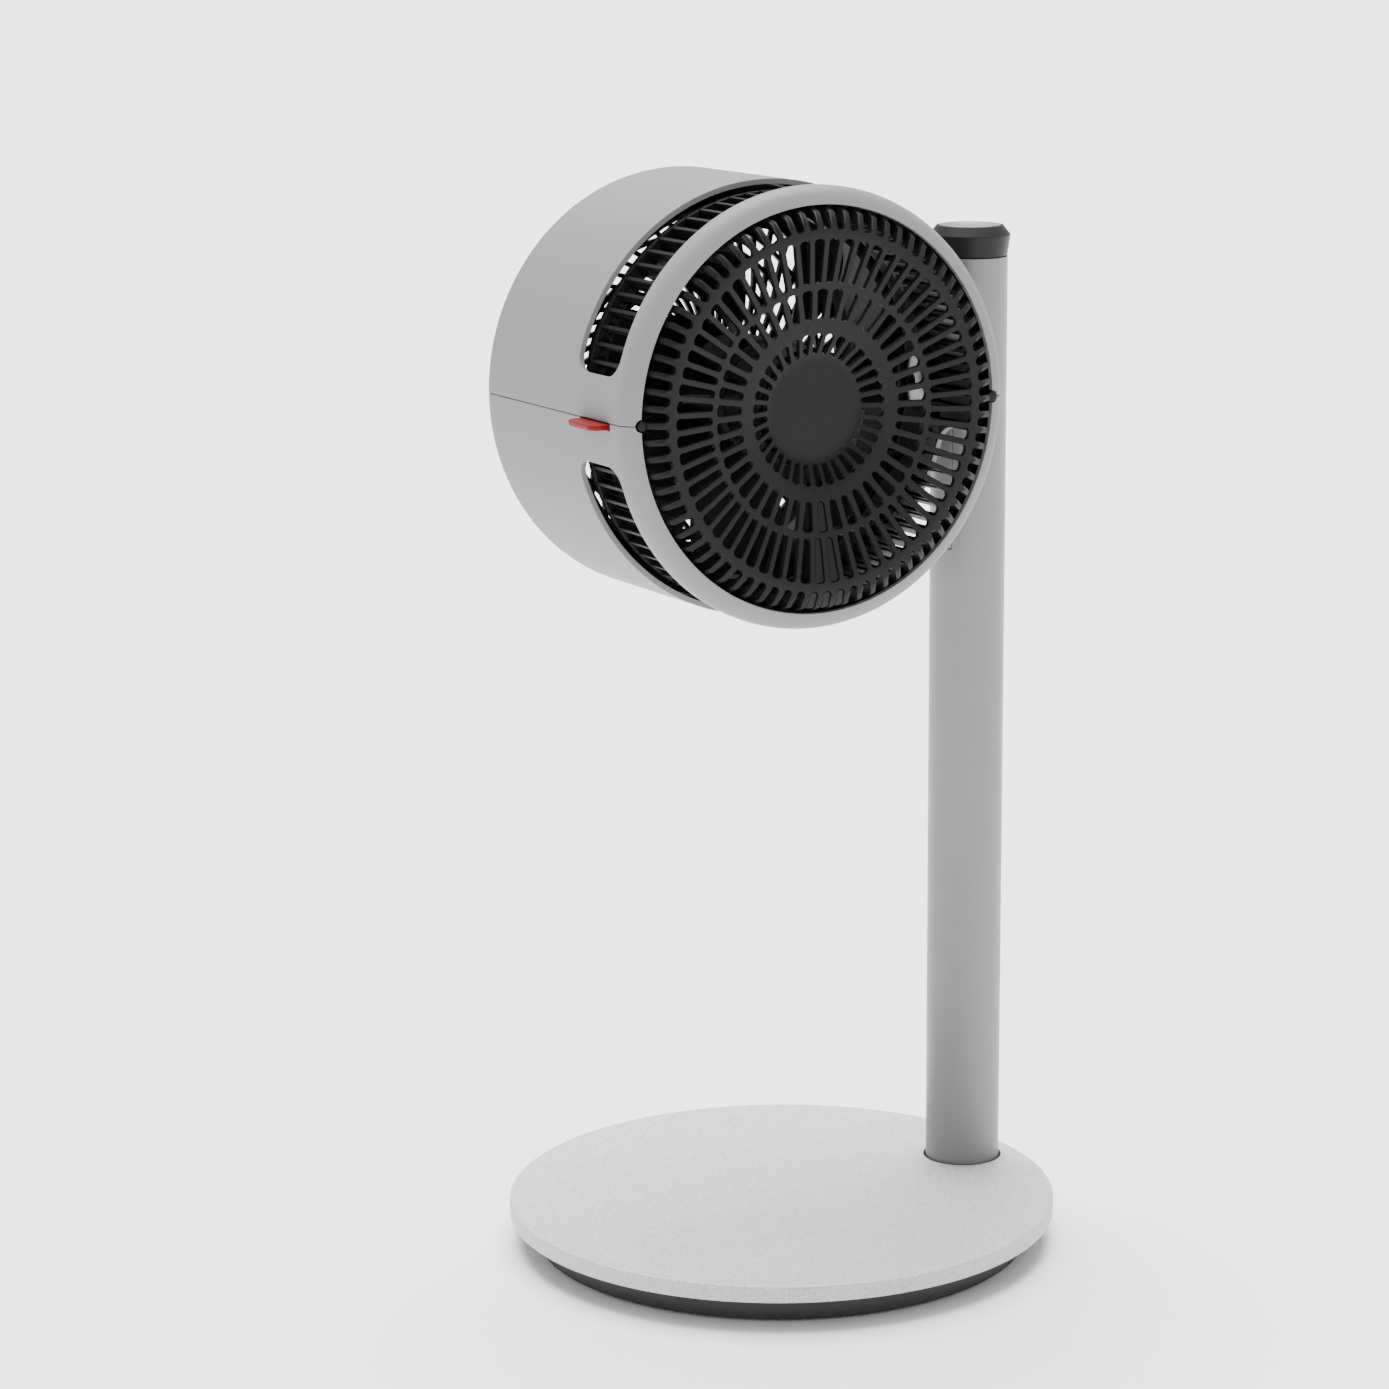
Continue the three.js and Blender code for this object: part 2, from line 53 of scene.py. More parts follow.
# ---------------------------------------------------------------- places, from the frame, in mm
def mm_box(node):
    """The low and the high corner of a CAD node's box."""
    low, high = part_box(node)
    return [c / MM for c in low], [c / MM for c in high]


shaft_low, shaft_high = mm_box("motor_shaft")
shell_low, shell_high = mm_box("lower_shell")
tube_low, tube_high = mm_box("pole_tube")
plate_low, plate_high = mm_box("base_plate")
foot_low, foot_high = mm_box("base_foot")

# The fan's axis runs along y through HEAD, and the pole's along z through POLE.
HEAD = Vector(((shaft_low[0] + shaft_high[0]) / 2, 0, (shaft_low[2] + shaft_high[2]) / 2))
POLE = Vector(((tube_low[0] + tube_high[0]) / 2, 0, 0))
BASE = Vector((0, 0, 0))

PAD_NODES = ["foot_pad_%d" % k for k in range(1, 6)]
SCREW_NODES = ["base_screw_%d" % k for k in range(1, 5)]
GUARD_NODES = ["side_guard_%d" % k for k in range(1, 9)]

DRUM_R = (shell_high[0] - shell_low[0]) / 2
FRONT, BACK = shell_low[1], shell_high[1]
WALL = 2.6
FRONT_FILLET, BACK_FILLET = 8, 3
LIP_R = DRUM_R - FRONT_FILLET  # the casing's front opening
SLOT_FROM, SLOT_TO, SLOT_CORNER = 11, 48, 9  # the side slots' edges behind FRONT, and their corner radius
SLOT_ANGLE = math.radians(11.5)  # from the seam to a side slot's end
SEAM = 0.15  # half the gap between the two shells
AXLE_HOLE_R = 7.6

POLE_R = (tube_high[0] - tube_low[0]) / 2
POLE_WALL = 2
COVER_LOW = mm_box("pole_cover")[0][2]
COVER_ANGLE = math.radians(32)  # half the width of the strip that closes the tube

GRILLE_R = 89.9
GRILLE_T = 2.6
GRILLE_RIM = 8.9  # the round edge between the dish and the side
CREST_Y = FRONT - 5.1
HUB_Y = FRONT + 6.9
GUARD_BACK = FRONT + SLOT_TO + 1

Ring = namedtuple("Ring", "slots start end bar phase")
RINGS = [  # slot count, radii where a slot starts and ends, bar between two slots, pitches off the bottom
    Ring(34, 24.2, 34.0, 2.1, 0),
    Ring(42, 40.3, 54.0, 2.7, 0),
    Ring(62, 56.3, 76.3, 2.5, 0.5),
    Ring(74, 79.9, None, 2.8, 0),  # these slots run on round the rim and back along the side
]


# ---------------------------------------------------------------- materials
def new_material(name, color, roughness, metallic=0.0):
    material = bpy.data.materials.new(name)
    material.use_nodes = True
    shader = material.node_tree.nodes["Principled BSDF"]
    shader.inputs["Base Color"].default_value = (*color, 1)
    shader.inputs["Roughness"].default_value = roughness
    shader.inputs["Metallic"].default_value = metallic
    return material, material.node_tree, shader


def noise(tree, scale, detail, stretch=(1, 1, 1)):
    """A noise in the object's own coordinates; scale is in features per metre."""
    place = tree.nodes.new("ShaderNodeTexCoord")
    mapping = tree.nodes.new("ShaderNodeMapping")
    mapping.inputs["Scale"].default_value = stretch
    texture = tree.nodes.new("ShaderNodeTexNoise")
    texture.inputs["Scale"].default_value = scale
    texture.inputs["Detail"].default_value = detail
    tree.links.new(place.outputs["Object"], mapping.inputs["Vector"])
    tree.links.new(mapping.outputs["Vector"], texture.inputs["Vector"])
    return texture.outputs["Fac"]


NOISE_LOW, NOISE_HIGH = 0.3, 0.7  # most of a noise lies between these


def spread(tree, source, low, high):
    """A noise mapped to low..high."""
    node = tree.nodes.new("ShaderNodeMapRange")
    node.inputs["From Min"].default_value = NOISE_LOW
    node.inputs["From Max"].default_value = NOISE_HIGH
    node.inputs["To Min"].default_value = low
    node.inputs["To Max"].default_value = high
    tree.links.new(source, node.inputs["Value"])
    return node.outputs["Result"]


def vary_color(tree, shader, source, color, amount):
    """The color made darker and lighter by a share of itself."""
    ramp = tree.nodes.new("ShaderNodeValToRGB")
    dark, light = ramp.color_ramp.elements
    dark.position = NOISE_LOW
    light.position = NOISE_HIGH
    dark.color = (*[c * (1 - amount) for c in color], 1)
    light.color = (*[min(1, c * (1 + amount)) for c in color], 1)
    tree.links.new(source, ramp.inputs["Fac"])
    tree.links.new(ramp.outputs["Color"], shader.inputs["Base Color"])


def add_bump(tree, shader, source, strength, distance):
    bump = tree.nodes.new("ShaderNodeBump")
    bump.inputs["Strength"].default_value = strength
    bump.inputs["Distance"].default_value = distance
    tree.links.new(source, bump.inputs["Height"])
    tree.links.new(bump.outputs["Normal"], shader.inputs["Normal"])


def powder_coat():
    color = (0.50, 0.50, 0.501)
    material, tree, shader = new_material("silver_powder_coat", color, roughness=0.5, metallic=0.15)
    grain = noise(tree, scale=900, detail=2.5)
    vary_color(tree, shader, grain, color, amount=0.2)
    tree.links.new(spread(tree, grain, low=0.42, high=0.6), shader.inputs["Roughness"])
    add_bump(tree, shader, grain, strength=0.5, distance=0.0003)
    return material


def satin_paint():
    color = (0.185, 0.186, 0.188)
    material, tree, shader = new_material("silver_satin_paint", color, roughness=0.42, metallic=0.25)
    grain = noise(tree, scale=2600, detail=2)
    vary_color(tree, shader, grain, color, amount=0.025)
    sheen = noise(tree, scale=60, detail=4)
    tree.links.new(spread(tree, sheen, low=0.38, high=0.46), shader.inputs["Roughness"])
    add_bump(tree, shader, grain, strength=0.06, distance=0.0001)
    return material


def moulded(name, color, roughness, grain=1800, depth=0.12, tint=0.04):
    """A plastic with a fine moulded grain of the given scale and bump strength."""
    material, tree, shader = new_material(name, color, roughness)
    shader.inputs["Specular IOR Level"].default_value = 0.15
    fine = noise(tree, grain, detail=3)
    vary_color(tree, shader, noise(tree, scale=35, detail=4), color, tint)
    tree.links.new(spread(tree, fine, roughness - 0.05, roughness + 0.05), shader.inputs["Roughness"])
    add_bump(tree, shader, fine, depth, distance=0.00012)
    return material


def turned_metal(name, color, roughness, stretch=(1, 1, 1)):
    material, tree, shader = new_material(name, color, roughness, metallic=1.0)
    lines = noise(tree, scale=500, detail=4, stretch=stretch)
    vary_color(tree, shader, lines, color, amount=0.08)
    tree.links.new(spread(tree, lines, roughness - 0.07, roughness + 0.1), shader.inputs["Roughness"])
    add_bump(tree, shader, lines, strength=0.1, distance=0.0001)
    return material


def circuit_board():
    color = (0.02, 0.13, 0.06)
    material, tree, shader = new_material("board_green", color, roughness=0.35)
    vary_color(tree, shader, noise(tree, scale=420, detail=1), color, amount=0.35)
    shader.inputs["Coat Weight"].default_value = 0.4
    return material


POWDER = powder_coat()
PAINT = satin_paint()
SILVER = moulded("silver_moulded", (0.205, 0.206, 0.207), 0.5, grain=2200, depth=0.05, tint=0.01)
BLACK = moulded("black_moulded", (0.006, 0.006, 0.0062), 0.5)
# The foot's black plastic is painted lighter than BLACK: painted light that offsets the shade under the
# plate.
FOOT_BLACK_PAINTED_LIGHT = moulded("black_foot_painted_light", (0.038, 0.038, 0.039), 0.55)
KNOB = moulded("black_satin", (0.013, 0.013, 0.0133), 0.42, grain=2600, depth=0.08)
RED = moulded("red_moulded", (0.17, 0.004, 0.005), 0.4, grain=1500, depth=0.08)
RUBBER = moulded("rubber_black", (0.014, 0.014, 0.0145), 0.85, grain=900, depth=0.3)
STEEL = turned_metal("turned_steel", (0.56, 0.57, 0.59), 0.32)
BRONZE = turned_metal("oiled_bronze", (0.55, 0.36, 0.17), 0.35)
COPPER = turned_metal("copper_winding", (0.6, 0.28, 0.14), 0.3, stretch=(0.2, 4, 0.2))
BOARD = circuit_board()


# ---------------------------------------------------------------- pieces
WELD = 2e-6  # vertices closer than this, in metres, become one
SHARP = math.radians(38)  # an edge that turns more than this keeps its crease


def piece(name, verts, faces, material, body, stands_for=(), origin=BASE, modify=(), cutters=()):
    """A mesh in mm about origin, with its modifiers, its body and the CAD nodes that it stands for."""
    mesh = bpy.data.meshes.new(name)
    mesh.from_pydata([(Vector(v) + origin) * MM for v in verts], [], faces)
    work = bmesh.new()
    work.from_mesh(mesh)
    bmesh.ops.remove_doubles(work, verts=work.verts, dist=WELD)
    bmesh.ops.recalc_face_normals(work, faces=work.faces)
    work.to_mesh(mesh)
    work.free()
    mesh.materials.append(material)
    obj = bpy.data.objects.new(name, mesh)
    bpy.context.scene.collection.objects.link(obj)
    for step in modify:
        step(obj)
    for cutter in cutters:
        carve(obj, cutter)
    finish_mesh(obj)
    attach(obj, body)
    if stands_for:
        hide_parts(*stands_for)


def apply_modifiers(obj):
    graph = bpy.context.evaluated_depsgraph_get()
    mesh = bpy.data.meshes.new_from_object(obj.evaluated_get(graph))
    obj.modifiers.clear()
    obj.data = mesh


def finish_mesh(obj):
    if obj.modifiers:
        apply_modifiers(obj)
    obj.data.polygons.foreach_set("use_smooth", [True] * len(obj.data.polygons))
    obj.data.set_sharp_from_angle(angle=SHARP)
    weighted = obj.modifiers.new("weighted", "WEIGHTED_NORMAL")
    weighted.keep_sharp = True


def thick(t, inside):
    """Gives an open sheet a wall that grows towards the point inside."""

    def step(obj):
        mesh = obj.data
        middle = Vector(inside) * MM
        if sum(f.normal.dot(f.center - middle) * f.area for f in mesh.polygons) < 0:
            mesh.flip_normals()
        solidify = obj.modifiers.new("thick", "SOLIDIFY")
        solidify.thickness = t * MM
        solidify.offset = -1
        solidify.use_even_offset = True
        solidify.use_quality_normals = True

    return step


def bevelled(width, segments, angle=40):
    """Bevels the edges that turn by more than angle degrees."""

    def step(obj):
        bevel = obj.modifiers.new("bevel", "BEVEL")
        bevel.width = width * MM
        bevel.segments = segments
        bevel.limit_method = "ANGLE"
        bevel.angle_limit = math.radians(angle)
        bevel.use_clamp_overlap = True

    return step


def carve(obj, cutter):
    """Cuts a closed (verts, faces, origin) solid out of obj."""
    verts, faces, origin = cutter
    mesh = bpy.data.meshes.new("cutter")
    mesh.from_pydata([(Vector(v) + origin) * MM for v in verts], [], faces)
    work = bmesh.new()
    work.from_mesh(mesh)
    bmesh.ops.recalc_face_normals(work, faces=work.faces)
    work.to_mesh(mesh)
    work.free()
    tool = bpy.data.objects.new("cutter", mesh)
    bpy.context.scene.collection.objects.link(tool)
    boolean = obj.modifiers.new("carve", "BOOLEAN")
    boolean.object = tool
    boolean.operation = "DIFFERENCE"
    boolean.solver = "EXACT"
    apply_modifiers(obj)
    bpy.data.objects.remove(tool)
    bpy.data.meshes.remove(mesh)


# ---------------------------------------------------------------- outlines, and (verts, faces) meshes
def spaced(a, b, cells):
    return [a + (b - a) * k / cells for k in range(cells + 1)]


def arc_points(cx, cy, r, a, b, steps):
    angles = [math.radians(t) for t in spaced(a, b, steps)]
    return [(cx + r * math.cos(t), cy + r * math.sin(t)) for t in angles]


def circle(r, z, count, x=0.0):
    angles = [2 * math.pi * k / count for k in range(count)]
    return [(x + r * math.cos(t), r * math.sin(t), z) for t in angles]


def soften(outline, closed=True, steps=5):
    """An outline of (x, y) or (x, y, fillet radius) points with its corners rounded."""
    out = []
    n = len(outline)
    for i, point in enumerate(outline):
        x, y = point[:2]
        radius = point[2] if len(point) > 2 else 0
        if not radius or (not closed and i in (0, n - 1)):
            out.append((x, y))
            continue
        here = Vector((x, y))
        a = (Vector(outline[i - 1][:2]) - here).normalized()
        b = (Vector(outline[(i + 1) % n][:2]) - here).normalized()
        half = math.acos(max(-1, min(1, a.dot(b)))) / 2
        reach = radius / math.tan(half)
        centre = here + (a + b).normalized() * (radius / math.sin(half))
        start, end = here + a * reach - centre, here + b * reach - centre
        sweep = start.angle_signed(end)
        for k in range(steps + 1):
            t = -sweep * k / steps
            c, s = math.cos(t), math.sin(t)
            out.append((centre.x + start.x * c - start.y * s, centre.y + start.x * s + start.y * c))
    return out


def ring_outline(r0, r1, h0, h1, edge):
    return soften([(r0, h0, edge), (r1, h0, edge), (r1, h1, edge), (r0, h1, edge)], steps=3)


AXES = {
    "x": lambda r, h, c, s: (h, r * c, r * s),
    "y": lambda r, h, c, s: (r * c, h, r * s),
    "z": lambda r, h, c, s: (r * c, r * s, h),
}


def turned(outline, axis="z", segments=96, shift=(0, 0, 0)):
    """A closed (radius, height) outline turned about an axis, then shifted."""
    put = AXES[axis]
    verts, rings = [], []
    for r, h in outline:
        count = segments if r > 1e-6 else 1
        rings.append((len(verts), count))
        for k in range(count):
            t = 2 * math.pi * k / segments
            verts.append(tuple(Vector(put(r, h, math.cos(t), math.sin(t))) + Vector(shift)))
    faces = []
    for (a, na), (b, nb) in zip(rings, rings[1:] + rings[:1]):
        if na == 1 and nb == 1:
            continue
        for k in range(segments):
            j = (k + 1) % segments
            quad = [a + k % na, a + j % na, b + j % nb, b + k % nb]
            faces.append(list(dict.fromkeys(quad)))
    return verts, faces


def merge(*meshes):
    verts, faces = [], []
    for v, f in meshes:
        shift = len(verts)
        verts += v
        faces += [[i + shift for i in face] for face in f]
    return verts, faces


def lofted(loops, cap_start=True, cap_end=True):
    """A skin through loops with equal point counts."""
    n = len(loops[0])
    verts = [tuple(p) for loop in loops for p in loop]
    faces = []
    for i in range(len(loops) - 1):
        for k in range(n):
            j = (k + 1) % n
            faces.append([i * n + k, i * n + j, (i + 1) * n + j, (i + 1) * n + k])
    if cap_start:
        faces.append(list(range(n))[::-1])
    if cap_end:
        faces.append([(len(loops) - 1) * n + k for k in range(n)])
    return verts, faces


def grid(rows, keep=lambda i, j: True):
    """A net of quads through rows of points; keep says which cells stay."""
    n = len(rows[0])
    verts = [tuple(p) for row in rows for p in row]
    faces = [
        [i * n + j, i * n + j + 1, (i + 1) * n + j + 1, (i + 1) * n + j]
        for i in range(len(rows) - 1)
        for j in range(n - 1)
        if keep(i, j)
    ]
    return verts, faces


def block(low, high):
    (x0, y0, z0), (x1, y1, z1) = low, high
    verts = [(x, y, z) for z in (z0, z1) for x, y in ((x0, y0), (x1, y0), (x1, y1), (x0, y1))]
    faces = [[0, 3, 2, 1], [4, 5, 6, 7], [0, 1, 5, 4], [1, 2, 6, 5], [2, 3, 7, 6], [3, 0, 4, 7]]
    return verts, faces


def prism(sides, r, z0, z1, at):
    """An upright prism round the point at, with a flat bottom and top."""
    loops = [[(at[0] + x, at[1] + y, z) for x, y, _ in circle(r, z, sides)] for z in (z0, z1)]
    return lofted(loops)


# ---------------------------------------------------------------- base
def make_base_plate():
    """A flat disc with rounded edges and a clean hole for the pole."""
    low, high = plate_low[2], plate_high[2]
    radius = (plate_high[0] - plate_low[0]) / 2
    edge, apron = 1.1, 4
    hole, hole_edge, hole_apron = 19, 0.5, 2
    rim_points, hole_points = 240, 96

    top = arc_points(radius - edge, high - edge, edge, 90, 0, 6)
    bottom = arc_points(radius - edge, low + edge, edge, 0, -90, 6)
    outer = [(radius - apron, high)] + top + bottom + [(radius - apron, low)]
    top = arc_points(hole + hole_edge, high - hole_edge, hole_edge, 90, 180, 4)
    bottom = arc_points(hole + hole_edge, low + hole_edge, hole_edge, 180, 270, 4)
    inner = [(hole + hole_apron, high)] + top + bottom + [(hole + hole_apron, low)]
    side = lofted([circle(r, z, rim_points) for r, z in outer], False, False)
    bore = lofted([circle(r, z, hole_points, POLE.x) for r, z in inner], False, False)
    verts, faces = filled(merge(side, bore), (low, high))
    piece("base_deck", verts, faces, POWDER, "base", ["base_plate"])


def filled(open_mesh, heights):
    """The mesh with triangles between its open edges at each height."""
    verts, faces = open_mesh
    mesh = bpy.data.meshes.new("filled")
    mesh.from_pydata([Vector(v) * MM for v in verts], [], faces)
    work = bmesh.new()
    work.from_mesh(mesh)
    for z in heights:
        rim = [e for e in work.edges if e.is_boundary and all(abs(v.co.z - z * MM) < 1e-6 for v in e.verts)]
        bmesh.ops.triangle_fill(work, edges=rim, use_beauty=True)
    bmesh.ops.recalc_face_normals(work, faces=work.faces)
    verts = [tuple(v.co / MM) for v in work.verts]
    faces = [[v.index for v in f.verts] for f in work.faces]
    work.free()
    bpy.data.meshes.remove(mesh)
    return verts, faces


def place_under(node):
    """A pad's or screw's centre on the ground, with its box."""
    low, high = mm_box(node)
    return ((low[0] + high[0]) / 2, (low[1] + high[1]) / 2, 0), low, high


def make_base_foot():
    """The dished black foot under the plate, open at the back for the inlet."""
    low, high = foot_low[2], foot_high[2]
    top_r = (foot_high[0] - foot_low[0]) / 2
    bottom_r = 117.5
    wall, gap = 2.2, 0.3
    outline = soften(
        [
            (0, low),
            (bottom_r - 0.5, low, 2.2),
            (top_r, high, 0.4),
            (top_r - wall, high, 0.4),
            (bottom_r - 1.4, low + wall, 1.2),
            (0, low + wall),
        ],
        steps=6,
    )
    verts, faces = turned(outline, segments=192)
    box_low, box_high = mm_box("power_inlet")
    inside, outside = 100, 130
    window = block(
        (box_low[0] - gap, inside, box_low[2] - gap),
        (box_high[0] + gap, outside, box_high[2] + gap),
    )
    holes = [(*window, BASE)]
    screw_hole = [(0, -1), (3.9, -1), (3.9, 6), (0, 6)]
    for node in SCREW_NODES:
        at, _, _ = place_under(node)
        holes.append((*turned(screw_hole, segments=32, shift=at), BASE))
    for node in PAD_NODES:
        at, pad_low, pad_high = place_under(node)
        r, top = (pad_high[0] - pad_low[0]) / 2 + gap, pad_high[2] + gap
        seat = turned([(0, -1), (r, -1), (r, top), (0, top)], segments=48, shift=at)
        holes.append((*seat, BASE))
    # The foot gets the black plastic painted lighter, as painted light against the shade under the plate.
    piece("base_bowl", verts, faces, FOOT_BLACK_PAINTED_LIGHT, "base", ["base_foot"], cutters=holes)


def make_pads():
    """Round rubber pads with a shallow dimple underneath."""
    rim, depth = 3, 0.4
    for k, node in enumerate(PAD_NODES):
        (x, y, _), low, high = place_under(node)
        at = (x, y, low[2])
        r, t = (high[0] - low[0]) / 2, high[2] - low[2]
        outline = soften([(0, 0), (r, 0, 0.7), (r, t, 0.2), (0, t)], steps=4)
        verts, faces = turned(outline, segments=48, shift=at)
        dimple = soften([(0, -1), (r - rim, -1), (r - rim, depth, 0.3), (0, depth)], steps=3)
        cut = (*turned(dimple, segments=48, shift=at), BASE)
        piece("pad_%d" % (k + 1), verts, faces, RUBBER, "base", [node], cutters=[cut])


def make_screws():
    """Screws with a domed head and a hexagonal socket."""
    head_r, head_t, shank_r = 3.4, 1.9, 1.9
    socket_r, socket_depth = 1.45, 1.1
    for k, node in enumerate(SCREW_NODES):
        at, low, high = place_under(node)
        z = low[2]
        outline = soften(
            [
                (0, z),
                (head_r, z, 0.8),
                (head_r, z + head_t),
                (shank_r, z + head_t),
                (shank_r, high[2], 0.5),
                (0, high[2]),
            ],
            steps=4,
        )
        verts, faces = turned(outline, segments=32, shift=at)
        cut = (*prism(6, socket_r, z - 1, z + socket_depth, at), BASE)
        piece("screw_%d" % (k + 1), verts, faces, STEEL, "base", [node], cutters=[cut])


def make_inlet():
    """A recessed socket with rounded corners and a tongue, in the back of the foot."""
    low, high = mm_box("power_inlet")
    cx, cz = (low[0] + high[0]) / 2, (low[2] + high[2]) / 2
    half_w, half_h = (high[0] - low[0]) / 2, (high[2] - low[2]) / 2
    back, recess_floor = high[1], 107.0
    recess_w, recess_h = 6.5, 2.55

    def loop(w, h, r, y):
        outline = soften([(-w, -h, r), (w, -h, r), (w, h, r), (-w, h, r)], steps=6)
        return [(cx + x, y, cz + z) for x, z in outline]

    shell = [
        loop(half_w, half_h, 1.2, low[1]),
        loop(half_w, half_h, 1.2, back - 0.5),
        loop(half_w - 0.4, half_h - 0.4, 1.0, back),
        loop(recess_w + 0.4, recess_h + 0.4, 1.6, back),
        loop(recess_w, recess_h, 1.4, back - 0.5),
        loop(recess_w, recess_h, 1.4, recess_floor),
    ]
    tongue = [
        loop(4.2, 0.7, 0.4, recess_floor + 0.02),
        loop(4.2, 0.7, 0.4, back - 2.6),
        loop(3.9, 0.4, 0.3, back - 2.2),
    ]
    verts, faces = merge(lofted(shell), lofted(tongue))
    piece("inlet", verts, faces, BLACK, "base", ["power_inlet"])


# ---------------------------------------------------------------- pole
def pole_rows(heights, angles):
    return [[(POLE_R * math.cos(t), POLE_R * math.sin(t), z) for t in angles] for z in heights]


def make_pole():
    """The tube, open on the drum's side above COVER_LOW, and the strip that closes it."""
    low, top = tube_low[2], tube_high[2]
    shape = (thick(POLE_WALL, POLE + Vector((0, 0, HEAD.z))), bevelled(0.35, 3))

    window = COVER_LOW - 0.3
    wrapped = spaced(math.pi - COVER_ANGLE, -math.pi + COVER_ANGLE, 110)
    opened = spaced(-math.pi + COVER_ANGLE, -math.pi - COVER_ANGLE, 24)[1:]
    heights = [low, low + 3] + spaced(low + 20, window, 14)
    split = len(heights) - 1
    heights += spaced(window, top - 1.5, 8)[1:] + [top]
    verts, faces = grid(
        pole_rows(heights, wrapped + opened),
        lambda i, j: i < split or j < len(wrapped) - 1,
    )
    piece("pole", verts, faces, PAINT, "pole", ["pole_tube"], POLE, shape)

    gap = 0.25 / POLE_R
    bore_half = 12  # the strip's mesh has its own rows round the axle's hole
    strip = spaced(math.pi - COVER_ANGLE + gap, math.pi + COVER_ANGLE - gap, 30)
    heights = spaced(COVER_LOW, HEAD.z - bore_half, 8)
    heights += spaced(HEAD.z - bore_half, HEAD.z + bore_half, 2)[1:]
    heights += spaced(HEAD.z + bore_half, top, 6)[1:]
    verts, faces = grid(pole_rows(heights, strip))
    bore = turned([(0, -30), (AXLE_HOLE_R, -30), (AXLE_HOLE_R, 0), (0, 0)], "x", 48, shift=(0, 0, HEAD.z))
    cuts = [(*bore, POLE)]
    piece("pole_strip", verts, faces, PAINT, "pole", ["pole_cover"], POLE, shape, cuts)


def make_dial():
    """The turning ring, and the dished button in its middle."""
    ring_low, ring_high = mm_box("knob_ring")
    cap_low, cap_high = mm_box("knob_cap")
    low, top = ring_low[2], ring_high[2]
    stem_r, hole_r, seat_z = 5.4, 14.75, 470.5
    outline = soften(
        [
            (stem_r, low, 0.2),
            (17.6, low, 0.5),
            (19.1, 472.6, 0.7),
            (15.6, top, 0.5),
            (hole_r, top, 0.25),
            (hole_r, seat_z, 0.2),
            (stem_r, seat_z, 0.2),
        ],
        steps=5,
    )
    verts, faces = turned(outline, segments=128)
    piece("dial_ring", verts, faces, KNOB, "speed_knob", ["knob_ring"], POLE)

    plunger_r, button_r, underside_z = 4.9, 14.4, 472.5
    low, crown = cap_low[2], cap_high[2]
    outline = soften(
        [
            (0, low),
            (plunger_r, low, 0.4),
            (plunger_r, underside_z, 0.3),
            (button_r, underside_z, 0.3),
            (button_r, crown, 0.6),
            (13.0, crown, 0.7),
            (9.5, crown - 1.2, 6),
            (0, crown - 1.6),
        ],
        steps=5,
    )
    verts, faces = turned(outline, segments=128)
    piece("dial_button", verts, faces, PAINT, "power_button", ["knob_cap"], POLE)


# ---------------------------------------------------------------- head casing
def casing_rows(side):
    """Rows of points round one half of the casing, and the rows and columns between which its slot lies."""
    slot_front, slot_rear, c = FRONT + SLOT_FROM, FRONT + SLOT_TO, SLOT_CORNER
    before, across, behind, corner_steps = 3, 6, 10, 8  # cells

    quarter = [(t, slot_front + c, slot_rear - c) for t in spaced(SEAM / DRUM_R, SLOT_ANGLE, 8)]
    first = len(quarter) - 1
    for k in range(1, corner_steps + 1):
        turn = math.pi / 2 * k / corner_steps
        inset = c * (1 - math.sin(turn))
        angle = SLOT_ANGLE + c * (1 - math.cos(turn)) / DRUM_R
        quarter.append((angle, slot_front + inset, slot_rear - inset))
    quarter += [(t, slot_front, slot_rear) for t in spaced(quarter[-1][0], math.pi / 2, 40)[1:]]
    half = quarter + [(math.pi - t, a, b) for t, a, b in reversed(quarter[:-1])]

    front = arc_points(LIP_R, FRONT + FRONT_FILLET, FRONT_FILLET, -90, 0, 12)
    back = arc_points(DRUM_R - BACK_FILLET, BACK - BACK_FILLET, BACK_FILLET, 0, 90, 6)
    back += [(r, BACK) for r in spaced(DRUM_R - BACK_FILLET, LIP_R - 0.6, 3)[1:]]
    rows = []
    for t, a, b in half:
        line = front + [(DRUM_R, y) for y in spaced(front[-1][1], a, before)[1:]]
        line += [(DRUM_R, y) for y in spaced(a, b, across)[1:]]
        line += [(DRUM_R, y) for y in spaced(b, back[0][1], behind)[1:]] + back[1:]
        rows.append([(r * math.cos(t), y, side * r * math.sin(t)) for r, y in line])
    column = len(front) - 1 + before
    return rows, (first, len(rows) - 1 - first), (column, column + across)


def make_casing():
    """The two half shells, with holes for the axle, the grille's pins and the latch."""
    axle = turned([(0, 80), (AXLE_HOLE_R, 80), (AXLE_HOLE_R, 110), (0, 110)], "x", 48)
    notch_r, notch_from, notch_to = 2.9, FRONT - 5, FRONT + 7
    notch = [(0, notch_from), (notch_r, notch_from), (notch_r, notch_to), (0, notch_to)]
    notches = [turned(notch, "y", 40, shift=(side * LIP_R, 0, 0)) for side in (-1, 1)]
    low, high = mm_box("release_latch")
    latch = block(
        (-DRUM_R - 20, low[1] - 0.4, low[2] - HEAD.z - 0.35),
        (-80, high[1] + 0.4, 1),
    )
    shape = (thick(WALL, HEAD), bevelled(0.45, 3, 50))

    def make_half(name, body, node, side, tools):
        rows, (row0, row1), (column0, column1) = casing_rows(side)
        verts, faces = grid(rows, lambda i, j: not (row0 <= i < row1 and column0 <= j < column1))
        cuts = [(*tool, HEAD) for tool in tools]
        piece(name, verts, faces, SILVER, body, [node], HEAD, shape, cuts)

    make_half("casing_top", "top_cover", "upper_shell", 1, [axle, *notches])
    make_half("casing_bottom", "head", "lower_shell", -1, [axle, *notches, latch])


